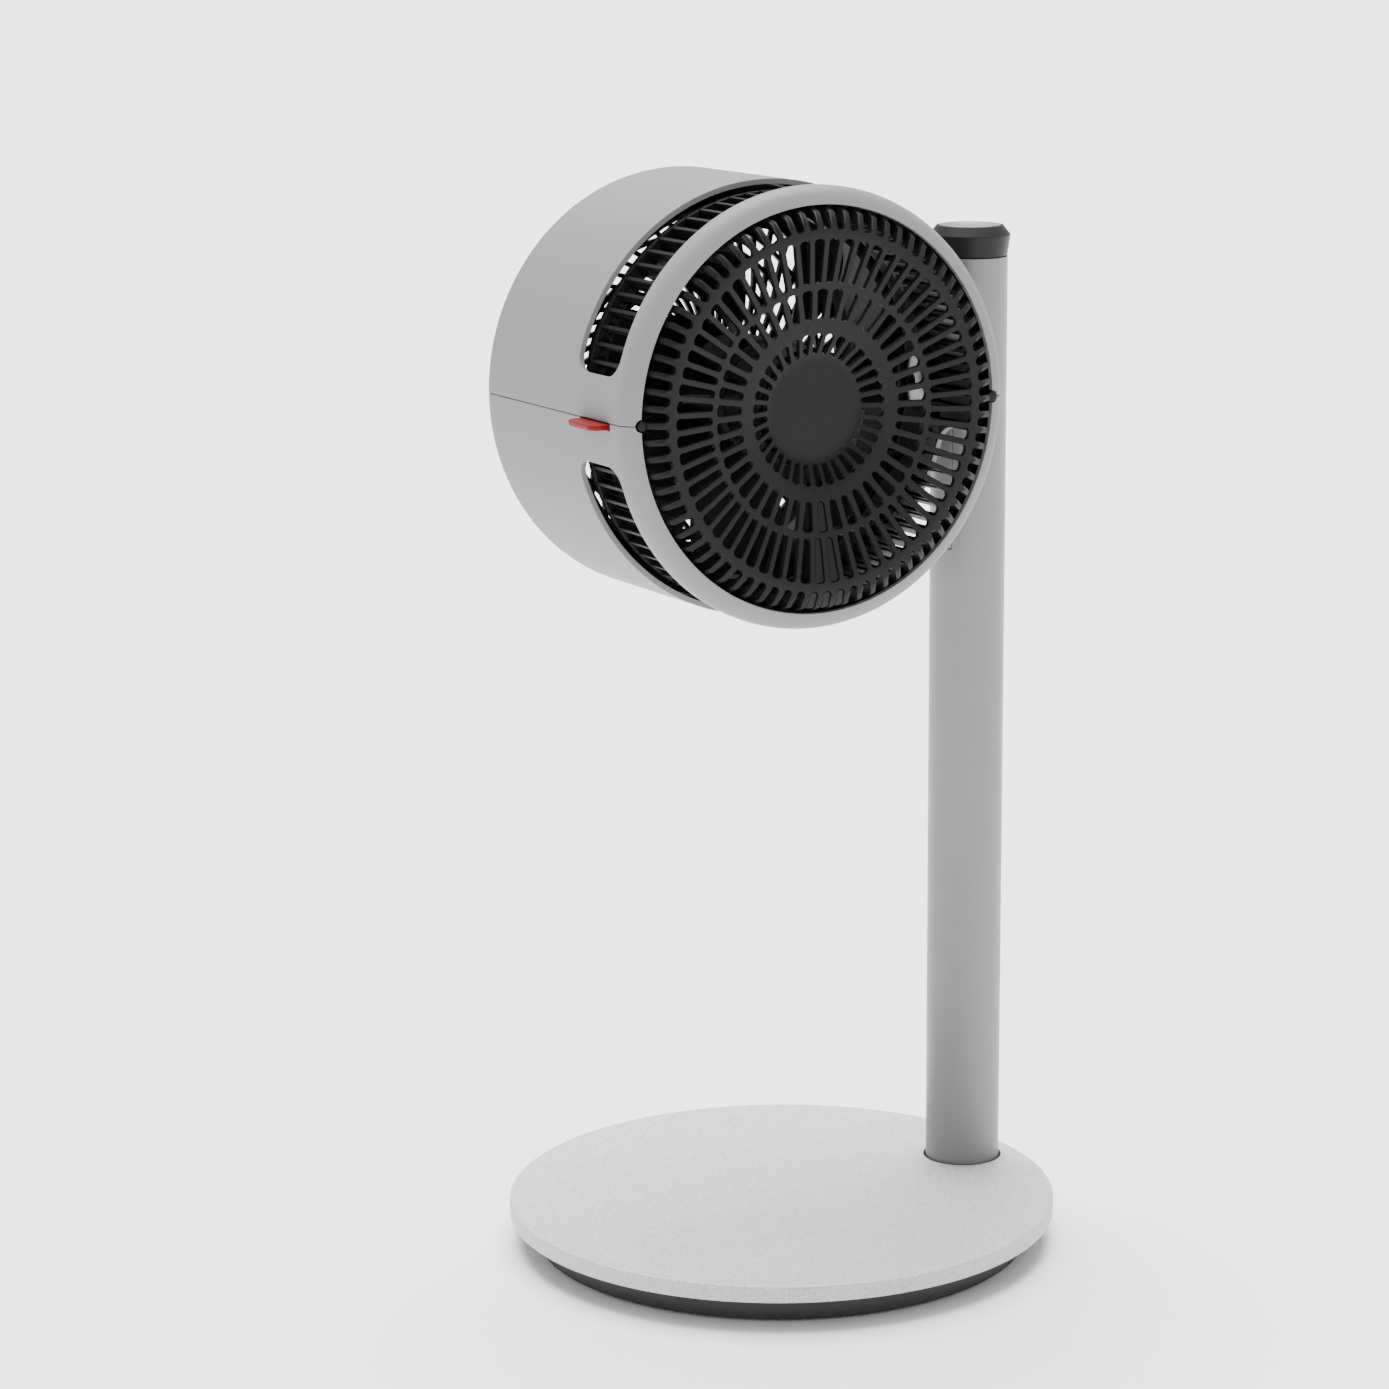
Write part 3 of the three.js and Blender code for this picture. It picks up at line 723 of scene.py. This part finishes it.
def make_latch():
    """The red tab: a plate with rounded outer corners, on the left at the seam."""
    low, high = mm_box("release_latch")
    x0, x1 = low[0] - HEAD.x, high[0] - HEAD.x - 1.4
    y0, y1 = low[1], high[1]
    z0, z1 = low[2] - HEAD.z, high[2] - HEAD.z
    plan = soften([(x1, y0, 0.3), (x0, y0, 5), (x0, y1, 6), (x1, y1, 0.3)], steps=10)
    cx, cy = (x0 + x1) / 2, (y0 + y1) / 2
    rounding = [(0.8, 0), (0.25, 0.2), (0, 0.7)]  # how far in the edge is, by the height from a face
    levels = [(inset, z0 + rise) for inset, rise in rounding]
    levels += [(inset, z1 - rise) for inset, rise in reversed(rounding)]
    loops = []
    for inset, z in levels:
        k = 1 - inset / 9
        loops.append([(cx + (x - cx) * k, cy + (y - cy) * k, z) for x, y in plan])
    verts, faces = lofted(loops)
    piece("latch_tab", verts, faces, RED, "latch", ["release_latch"], HEAD)


# ---------------------------------------------------------------- front grille
def grille_curve():
    """The grille's dished section, (r, y) from the hub's centre, over the crest and back along the side."""
    front = soften(
        [
            (0, HUB_Y),
            (22.8, HUB_Y, 1.5),
            (34, HUB_Y - 4.8, 6),
            (55, HUB_Y - 8.2, 30),
            (76.6, CREST_Y + 0.1, 12),
            (GRILLE_R - GRILLE_RIM, CREST_Y),
        ],
        closed=False,
        steps=6,
    )
    rim = arc_points(GRILLE_R - GRILLE_RIM, CREST_Y + GRILLE_RIM, GRILLE_RIM, -90, 0, 14)
    return front + rim[1:] + [(GRILLE_R, GUARD_BACK)]


class Section:
    """Places by length along the grille's section."""

    def __init__(self, points):
        self.points = points
        self.at = [0.0]
        for (r0, y0), (r1, y1) in zip(points, points[1:]):
            self.at.append(self.at[-1] + math.hypot(r1 - r0, y1 - y0))
        self.length = self.at[-1]

    def place(self, s):
        i = next((k for k in range(1, len(self.at) - 1) if self.at[k] >= s), len(self.at) - 1)
        t = (s - self.at[i - 1]) / (self.at[i] - self.at[i - 1])
        (r0, y0), (r1, y1) = self.points[i - 1], self.points[i]
        return r0 + (r1 - r0) * t, y0 + (y1 - y0) * t

    def radius(self, s):
        return self.place(s)[0]

    def normal(self, s):
        """Points outwards, towards the front and the side."""
        (r0, y0), (r1, y1) = self.place(s - 0.2), self.place(s + 0.2)
        d = math.hypot(r1 - r0, y1 - y0)
        return (y1 - y0) / d, -(r1 - r0) / d

    def of_radius(self, r):
        for k in range(1, len(self.points)):
            if self.points[k][0] >= r:
                (r0, _), (r1, _) = self.points[k - 1], self.points[k]
                return self.at[k - 1] + (self.at[k] - self.at[k - 1]) * (r - r0) / (r1 - r0)
        return self.length


def along(ring):
    """The ring with the ends of its slots as lengths along the section."""
    end = SECTION.of_radius(ring.end) if ring.end else SECTION.length - 4
    return ring._replace(start=SECTION.of_radius(ring.start), end=end)


SECTION = Section(grille_curve())
SLOT_RINGS = [along(ring) for ring in RINGS]
OUTER_RING = SLOT_RINGS[-1]
BOTTOM = -math.pi / 2
CORNER_STEPS, SIDE_STEPS, END_STEPS = 4, 8, 2  # mesh cells in each part of a slot's edge
EDGE_STEPS = CORNER_STEPS + END_STEPS  # mesh cells per slot along a band's edge


def on_grille(s, angle, lift=0.0):
    """A point of the grille by its length along the section and its angle, lifted off the front face."""
    r, y = SECTION.place(s)
    if lift:
        nr, ny = SECTION.normal(s)
        r, y = r + nr * lift, y + ny * lift
    return r * math.cos(angle), y, r * math.sin(angle)


def slot_angle(ring, k):
    return BOTTOM + (k + ring.phase) * 2 * math.pi / ring.slots


def slot_loop(ring, shrink=0.0):
    """A slot's rounded outline, as (length, angle from the slot's middle) points."""

    def half_width(s):
        return math.pi / ring.slots * SECTION.radius(s) - ring.bar / 2 - shrink

    def corner(s, outwards, side):
        """From a long side to the slot's end at length s."""
        w = half_width(s)
        radius = min(w * 0.92, 1.9)
        points = []
        for t in spaced(0, math.pi / 2, CORNER_STEPS):
            along_slot = s + outwards * radius * (math.sin(t) - 1)
            points.append((along_slot, side * (w - radius + math.cos(t) * radius)))
        return points

    def long_side(a, b, side):
        return [(s, side * half_width(s)) for s in spaced(a[0], b[0], SIDE_STEPS)[1:-1]]

    def slot_end(a, b):
        return [(a[0], w) for w in spaced(a[1], b[1], END_STEPS)[1:-1]]

    start, end = ring.start + shrink, ring.end - shrink
    low_left, low_right = corner(start, -1, -1), corner(start, -1, 1)
    high_left, high_right = corner(end, 1, -1), corner(end, 1, 1)
    path = low_left[::-1] + long_side(low_left[0], high_left[0], -1)
    path += high_left + slot_end(high_left[-1], high_right[-1])
    path += high_right[::-1] + long_side(high_right[0], low_right[0], 1)
    path += low_right + slot_end(low_right[-1], low_left[-1])
    return [(s, w / SECTION.radius(s)) for s, w in path]


def cell_loop(ring, low, high):
    """As many points as slot_loop has, round the cell of the band that holds the slot."""
    half = math.pi / ring.slots
    steps = CORNER_STEPS + SIDE_STEPS
    points = [(s, -half) for s in spaced(low, high, steps)]
    points += [(high, a) for a in spaced(-half, half, EDGE_STEPS)][1:]
    points += [(s, half) for s in spaced(high, low, steps)][1:]
    points += [(low, a) for a in spaced(half, -half, EDGE_STEPS)][1:-1]
    return points


def matched(cell, slot):
    """The cell's points, started where they lie closest to the slot's."""
    angle_weight = 60

    def distance(points):
        return sum((s - t) ** 2 + (angle_weight * (a - b)) ** 2 for (s, a), (t, b) in zip(slot, points))

    return min((cell[k:] + cell[:k] for k in range(len(cell))), key=distance)


def slotted_band(ring, low, high):
    """A band of the grille between two lengths, with the ring's slots in it."""
    slot = slot_loop(ring)
    cell = matched(cell_loop(ring, low, high), slot)
    n = len(slot)
    verts, faces = [], []
    for k in range(ring.slots):
        middle = slot_angle(ring, k)
        first = len(verts)
        verts += [on_grille(s, middle + a) for s, a in slot + cell]
        for i in range(n):
            j = (i + 1) % n
            faces.append([first + i, first + j, first + n + j, first + n + i])
    return verts, faces


def edge_angles(ring):
    """The angles of the points along the edges of the ring's band."""
    count = ring.slots * EDGE_STEPS
    start = BOTTOM + (ring.phase - 0.5) * 2 * math.pi / ring.slots
    return [start + 2 * math.pi * k / count for k in range(count)]


def zipped_ring(inner, s0, outer, s1):
    """Triangles between the edges of two bands, which have different point counts."""
    full = 2 * math.pi
    a = sorted(t % full for t in edge_angles(inner))
    b = sorted(t % full for t in edge_angles(outer))
    n0, n1 = len(a), len(b)
    verts = [on_grille(s0, t) for t in a] + [on_grille(s1, t) for t in b]
    faces = []
    start = min(range(n1), key=lambda k: abs((b[k] - a[0] + math.pi) % full - math.pi))
    wrap = full if b[start] - a[0] > math.pi else 0
    i = j = 0
    while i < n0 or j < n1:
        next_a = a[(i + 1) % n0] + full * ((i + 1) // n0)
        k = start + j + 1
        next_b = b[k % n1] + full * (k // n1) - wrap
        if j >= n1 or (i < n0 and next_a <= next_b):
            faces.append([i % n0, (i + 1) % n0, n0 + (start + j) % n1])
            i += 1
        else:
            faces.append([i % n0, n0 + k % n1, n0 + (start + j) % n1])
            j += 1
    return verts, faces


def make_front_grille():
    """The hub's disc and one band for each ring of slots, joined by narrow strips."""
    strip = 0.35  # half the width of the strip between two bands
    hub_edge, hub_middle = SECTION.of_radius(22.9), 2.5
    joins = [(a.end + b.start) / 2 for a, b in zip(SLOT_RINGS, SLOT_RINGS[1:])]
    lows = [hub_edge] + [join + strip for join in joins]
    highs = [join - strip for join in joins] + [SECTION.length]
    parts = []
    for k, ring in enumerate(SLOT_RINGS):
        parts.append(slotted_band(ring, lows[k], highs[k]))
        if ring is not OUTER_RING:
            parts.append(zipped_ring(ring, highs[k], SLOT_RINGS[k + 1], lows[k + 1]))
    angles = edge_angles(SLOT_RINGS[0])
    circles = [[on_grille(s, t) for t in angles] for s in spaced(hub_edge, hub_middle, 8)]
    parts.append(lofted(circles, cap_start=False))
    verts, faces = merge(*parts)
    shape = (thick(GRILLE_T, HEAD + Vector((0, BACK, 0))), bevelled(0.38, 2, 50))
    piece("grille_front", verts, faces, BLACK, "head", ["front_grille"], HEAD, shape)


def make_fins():
    """Deep fins under the outer ring's bars, from the crest back to a hoop, wider once behind the lip."""
    lip = SECTION.length - (GUARD_BACK - FRONT)
    before_lip = spaced(OUTER_RING.start + 1.5, lip + 6, 10)
    behind_lip = spaced(lip + 9, SECTION.length - 1, 6)
    sunk, raised = -0.7, 3.6  # the fin's outer edge, off the grille's face
    parts = []
    for k in range(OUTER_RING.slots):
        angle = slot_angle(OUTER_RING, k + 0.5)
        behind_latch = math.cos(angle) < -0.999
        loops = []
        for i, s in enumerate(before_lip + behind_lip):
            depth = GRILLE_T + 0.4 + 2.2 * min(1, i / 5)
            edge = sunk if i < len(before_lip) or behind_latch else raised
            corners = [(edge, -0.75), (edge, 0.75), (-depth, 0.9), (-depth, -0.9)]
            r = SECTION.radius(s)
            loops.append([on_grille(s, angle + half / r, lift) for lift, half in corners])
        parts.append(lofted(loops))
    back_hoop = ring_outline(GRILLE_R - 4.6, GRILLE_R + 3.6, GUARD_BACK - 3.5, GUARD_BACK, 0.6)
    lip_hoop = ring_outline(GRILLE_R - 0.6, GRILLE_R + 4.6, FRONT + 6.5, FRONT + 9, 0.4)
    parts += [turned(hoop, "y", 192) for hoop in (back_hoop, lip_hoop)]
    verts, faces = merge(*parts)
    piece("grille_fins", verts, faces, BLACK, "head", GUARD_NODES, HEAD)


def make_pins():
    """The two pins in the casing's half-round notches."""
    r, front, back = 2.3, FRONT - 0.5, FRONT + 5
    outline = soften([(0, front), (r, front, 0.6), (r, back), (0, back)], steps=4)
    pins = [turned(outline, "y", 40, shift=(side * (LIP_R - 0.3), 0, 0)) for side in (-1, 1)]
    verts, faces = merge(*pins)
    piece("grille_pins", verts, faces, BLACK, "head", origin=HEAD)


def make_duct():
    """The cable duct at the bottom, behind the grille, with a pad that fills each slot in front of it."""
    covered = ((0,), (-1, 0), (-1, 0, 1))  # slots from the bottom, in all rings but the first
    parts = []
    for ring, filled_slots in zip(SLOT_RINGS[1:], covered):
        ring = ring._replace(end=min(ring.end, SECTION.of_radius(GRILLE_R - 1.2)))
        edge, face = slot_loop(ring, shrink=0.22), slot_loop(ring, shrink=0.5)
        for k in filled_slots:
            middle = slot_angle(ring, k)
            levels = ((face, -0.55), (edge, -0.8), (edge, -GRILLE_T - 0.6))
            loops = [[on_grille(s, middle + a, lift) for s, a in loop] for loop, lift in levels]
            parts.append(lofted(loops))
    from_r, to_r = 29, GRILLE_R - 2
    front, back = -GRILLE_T - 0.3, -GRILLE_T - 4.2
    rows = []
    for s in spaced(SECTION.of_radius(from_r), SECTION.of_radius(to_r), 16):
        r = SECTION.radius(s)
        half = 4.2 + 6.6 * (r - from_r) / (GRILLE_R - from_r)
        row = [on_grille(s, BOTTOM + x * half / r, front) for x in spaced(-1, 1, 6)]
        row += [on_grille(s, BOTTOM + x * half / r, back) for x in spaced(1, -1, 6)]
        rows.append(row)
    parts.append(lofted(rows))
    verts, faces = merge(*parts)
    piece("duct", verts, faces, BLACK, "head", ["cable_duct"], HEAD)


# ---------------------------------------------------------------- inside the head
def make_rear_grille():
    """A hub and hoops joined by swept, curved ribs."""
    (_, low, _), (_, high, _) = mm_box("rear_grille")
    hub_r, rim_r = 30, GRILLE_R - 0.8
    hub = soften([(0, low), (hub_r, low, 0.6), (hub_r, high, 0.9), (0, high)], steps=4)
    parts = [turned(hub, "y", 96)]
    for r0, r1 in ((43, 45.2), (54, 56), (65, 67.2), (75, 77), (85.8, rim_r)):
        parts.append(turned(ring_outline(r0, r1, low, high, 0.5), "y", 160))

    ribs, steps = 48, 24
    from_r, to_r = hub_r - 1, 86.5
    sweep, bend = math.radians(46), 1.6  # a rib's turn from end to end, and how much of it is near the hub
    half, flat = 1.1, 0.66
    corners = [(-half, low + 0.4), (-flat, low + 0.1), (flat, low + 0.1), (half, low + 0.4)]
    corners += [(-x, low + high - y) for x, y in corners]
    for k in range(ribs):
        loops = []
        for u in spaced(0, 1, steps):
            r = from_r + (to_r - from_r) * u
            angle = 2 * math.pi * k / ribs + sweep * (1 - (1 - u) ** bend)
            tilt = math.atan(sweep * bend * (1 - u) ** (bend - 1) / (to_r - from_r) * r)
            loop = []
            for x, y in corners:
                t = angle + x * math.cos(tilt) / r
                corner_r = r - x * math.sin(tilt)
                loop.append((corner_r * math.cos(t), y, corner_r * math.sin(t)))
            loops.append(loop)
        parts.append(lofted(loops))
    verts, faces = merge(*parts)
    piece("grille_rear", verts, faces, BLACK, "head", ["rear_grille"], HEAD)


def make_shroud():
    """The ring round the fan wheel, with the flange that holds it in the casing."""
    (_, low, _), (_, high, _) = mm_box("fan_shroud")
    inner_r, outer_r, flange_r = 86, 88, DRUM_R - WALL - 0.8
    flange_front, flange_back = low + 9, low + 12
    outline = soften(
        [
            (inner_r, high, 0.5),
            (inner_r, low, 0.8),
            (outer_r, low, 0.4),
            (outer_r, flange_front, 0.5),
            (flange_r, flange_front, 0.4),
            (flange_r, flange_back, 0.4),
            (outer_r, flange_back, 0.5),
            (outer_r, high, 0.5),
        ],
        steps=4,
    )
    verts, faces = turned(outline, "y", 160)
    piece("duct_ring", verts, faces, BLACK, "head", ["fan_shroud"], HEAD)


def make_impeller():
    """A cupped hub and seven twisted blades with rounded edges."""
    bore_r, boss_r, cup_r, hub_r = 3.4, 8, 24.6, 27
    hub_front, cup_floor, boss_back, hub_back = -21, -18.2, 8, 12
    hub = soften(
        [
            (bore_r, hub_front),
            (hub_r, hub_front, 4),
            (hub_r, hub_back, 0.6),
            (cup_r, hub_back, 0.6),
            (cup_r, cup_floor, 2),
            (boss_r, cup_floor, 1),
            (boss_r, boss_back, 0.4),
            (bore_r, boss_back),
        ],
        steps=5,
    )
    low, high = mm_box("impeller")
    root_r, tip_r = 25.6, min((high[2] - low[2]) / 2, 83.3)
    blades, span_steps, chord_steps = 7, 18, 18
    middle_y, camber = -5, 5
    rake, width = math.radians(-14), math.radians(36)
    parts = [turned(hub, "y", 96)]
    for blade in range(blades):
        sections = []
        for u in spaced(0, 1, span_steps):
            r = root_r + (tip_r - root_r) * u
            round_tip = 1 - 0.16 * max(0.0, (u - 0.8) / 0.2) ** 2
            pitch = 30 - 10 * u
            upper, lower = [], []
            for j in range(chord_steps + 1):
                v = 0.5 - 0.5 * math.cos(math.pi * j / chord_steps)
                angle = rake * u * u + width * (v - 0.5) * round_tip + 2 * math.pi * blade / blades
                y = middle_y + pitch * (v - 0.5) * round_tip + camber * math.sin(math.pi * v)
                half = 0.95 * math.sqrt(max(0.0, 1 - (2 * v - 1) ** 4)) + 0.12
                x, z = r * math.cos(-angle), r * math.sin(-angle)
                upper.append((x, y + half, z))
                lower.append((x, y - half, z))
            sections.append(upper + lower[::-1])
        parts.append(lofted(sections))
    verts, faces = merge(*parts)
    piece("fan_wheel", verts, faces, BLACK, "fan_wheel", ["impeller"], HEAD)


def make_motor():
    """The motor's can, open to the front, with a hole and a bearing seat in its back."""
    hole_r, seat_r, boss_r, cup_r, can_r = 4.2, 7.3, 9.5, 24.5, 27
    mouth, boss_end, floor, end = -53.1, -30.4, -26.5, -24
    can = soften(
        [
            (cup_r, mouth, 0.3),
            (can_r, mouth, 0.6),
            (can_r, end, 3),
            (hole_r, end, 0.3),
            (hole_r, floor, 0.3),
            (seat_r, floor),
            (seat_r, boss_end, 0.3),
            (boss_r, boss_end, 0.3),
            (boss_r, floor),
            (cup_r, floor, 1.5),
        ],
        steps=4,
    )
    verts, faces = turned(can, "y", 96)
    piece("motor_can", verts, faces, BLACK, "head", ["motor_housing"], HEAD)


def make_collar():
    """The collar on the tilt axle, between the drum and the pole."""
    low, high = mm_box("tilt_collar")
    x0, x1 = low[0] - HEAD.x, high[0] - HEAD.x
    outline = soften([(7.3, x0, 0.2), (11.5, x0, 0.5), (11.5, x1, 0.5), (7.3, x1, 0.2)], steps=4)
    verts, faces = turned(outline, "x", 64)
    piece("axle_collar", verts, faces, BLACK, "head", ["tilt_collar"], HEAD)


# ---------------------------------------------------------------- CAD nodes that keep their own meshes
def finish_cad_nodes():
    looks = {
        "black_plastic": BLACK,
        "steel": STEEL,
        "bronze": BRONZE,
        "copper": COPPER,
        "board": BOARD,
        "rubber": RUBBER,
        "silver_paint": PAINT,
        "silver_plastic": SILVER,
        "red_plastic": RED,
    }
    for part in frame["record"]["subparts"]:
        node = frame["nodes"][part["node"]]
        for slot in node.material_slots:
            slot.material = looks[part["material_slot"]]


# ---------------------------------------------------------------- stage, light and camera, in metres
def make_stage():
    """A pale floor, large enough to fill the photograph's view."""
    half, z = 60.0, -0.0002
    mesh = bpy.data.meshes.new("floor")
    corners = [(-half, -half, z), (half, -half, z), (half, half, z), (-half, half, z)]
    mesh.from_pydata(corners, [], [[0, 1, 2, 3]])
    material, _, shader = new_material("pale_floor", (0.97, 0.97, 0.97), roughness=0.9)
    shader.inputs["Specular IOR Level"].default_value = 0.1
    mesh.materials.append(material)
    floor = bpy.data.objects.new("floor", mesh)
    bpy.context.scene.collection.objects.link(floor)


def make_light():
    """A white world, and a wide soft sun from above and behind."""
    world = bpy.data.worlds.new("studio")
    world.use_nodes = True
    background = world.node_tree.nodes["Background"]
    background.inputs["Color"].default_value = (1, 1, 1, 1)
    background.inputs["Strength"].default_value = 1.0
    bpy.context.scene.world = world

    sun = bpy.data.lights.new("overhead", "SUN")
    sun.energy = 9.0
    sun.angle = math.radians(50)
    obj = bpy.data.objects.new("overhead", sun)
    towards_sun = Vector((0.12, 0.3, 1))
    obj.rotation_euler = towards_sun.to_track_quat("Z", "Y").to_euler()
    bpy.context.scene.collection.objects.link(obj)


def make_camera():
    """The photograph's view: the camera looks at target, and the shift sets the framing."""
    azimuth, elevation = math.radians(-31.49), math.radians(13.0)
    target, distance = Vector((0.01568, -0.0096, 0.23883)), 1.8028
    back = Vector(
        (
            math.sin(azimuth) * math.cos(elevation),
            -math.cos(azimuth) * math.cos(elevation),
            math.sin(elevation),
        )
    )
    data = bpy.data.cameras.new("camera")
    data.sensor_width = 36
    data.lens = 100.07
    data.shift_x, data.shift_y = -0.0904, 0.0383
    camera = bpy.data.objects.new("camera", data)
    camera.rotation_mode = "QUATERNION"
    camera.location = target + back * distance
    camera.rotation_quaternion = (-back).to_track_quat("-Z", "Y")
    bpy.context.scene.collection.objects.link(camera)
    bpy.context.scene.camera = camera


finish_cad_nodes()
make_base_plate()
make_base_foot()
make_pads()
make_screws()
make_inlet()
make_pole()
make_dial()
make_casing()
make_latch()
make_front_grille()
make_fins()
make_pins()
make_duct()
make_rear_grille()
make_shroud()
make_impeller()
make_motor()
make_collar()
make_stage()
make_light()
make_camera()
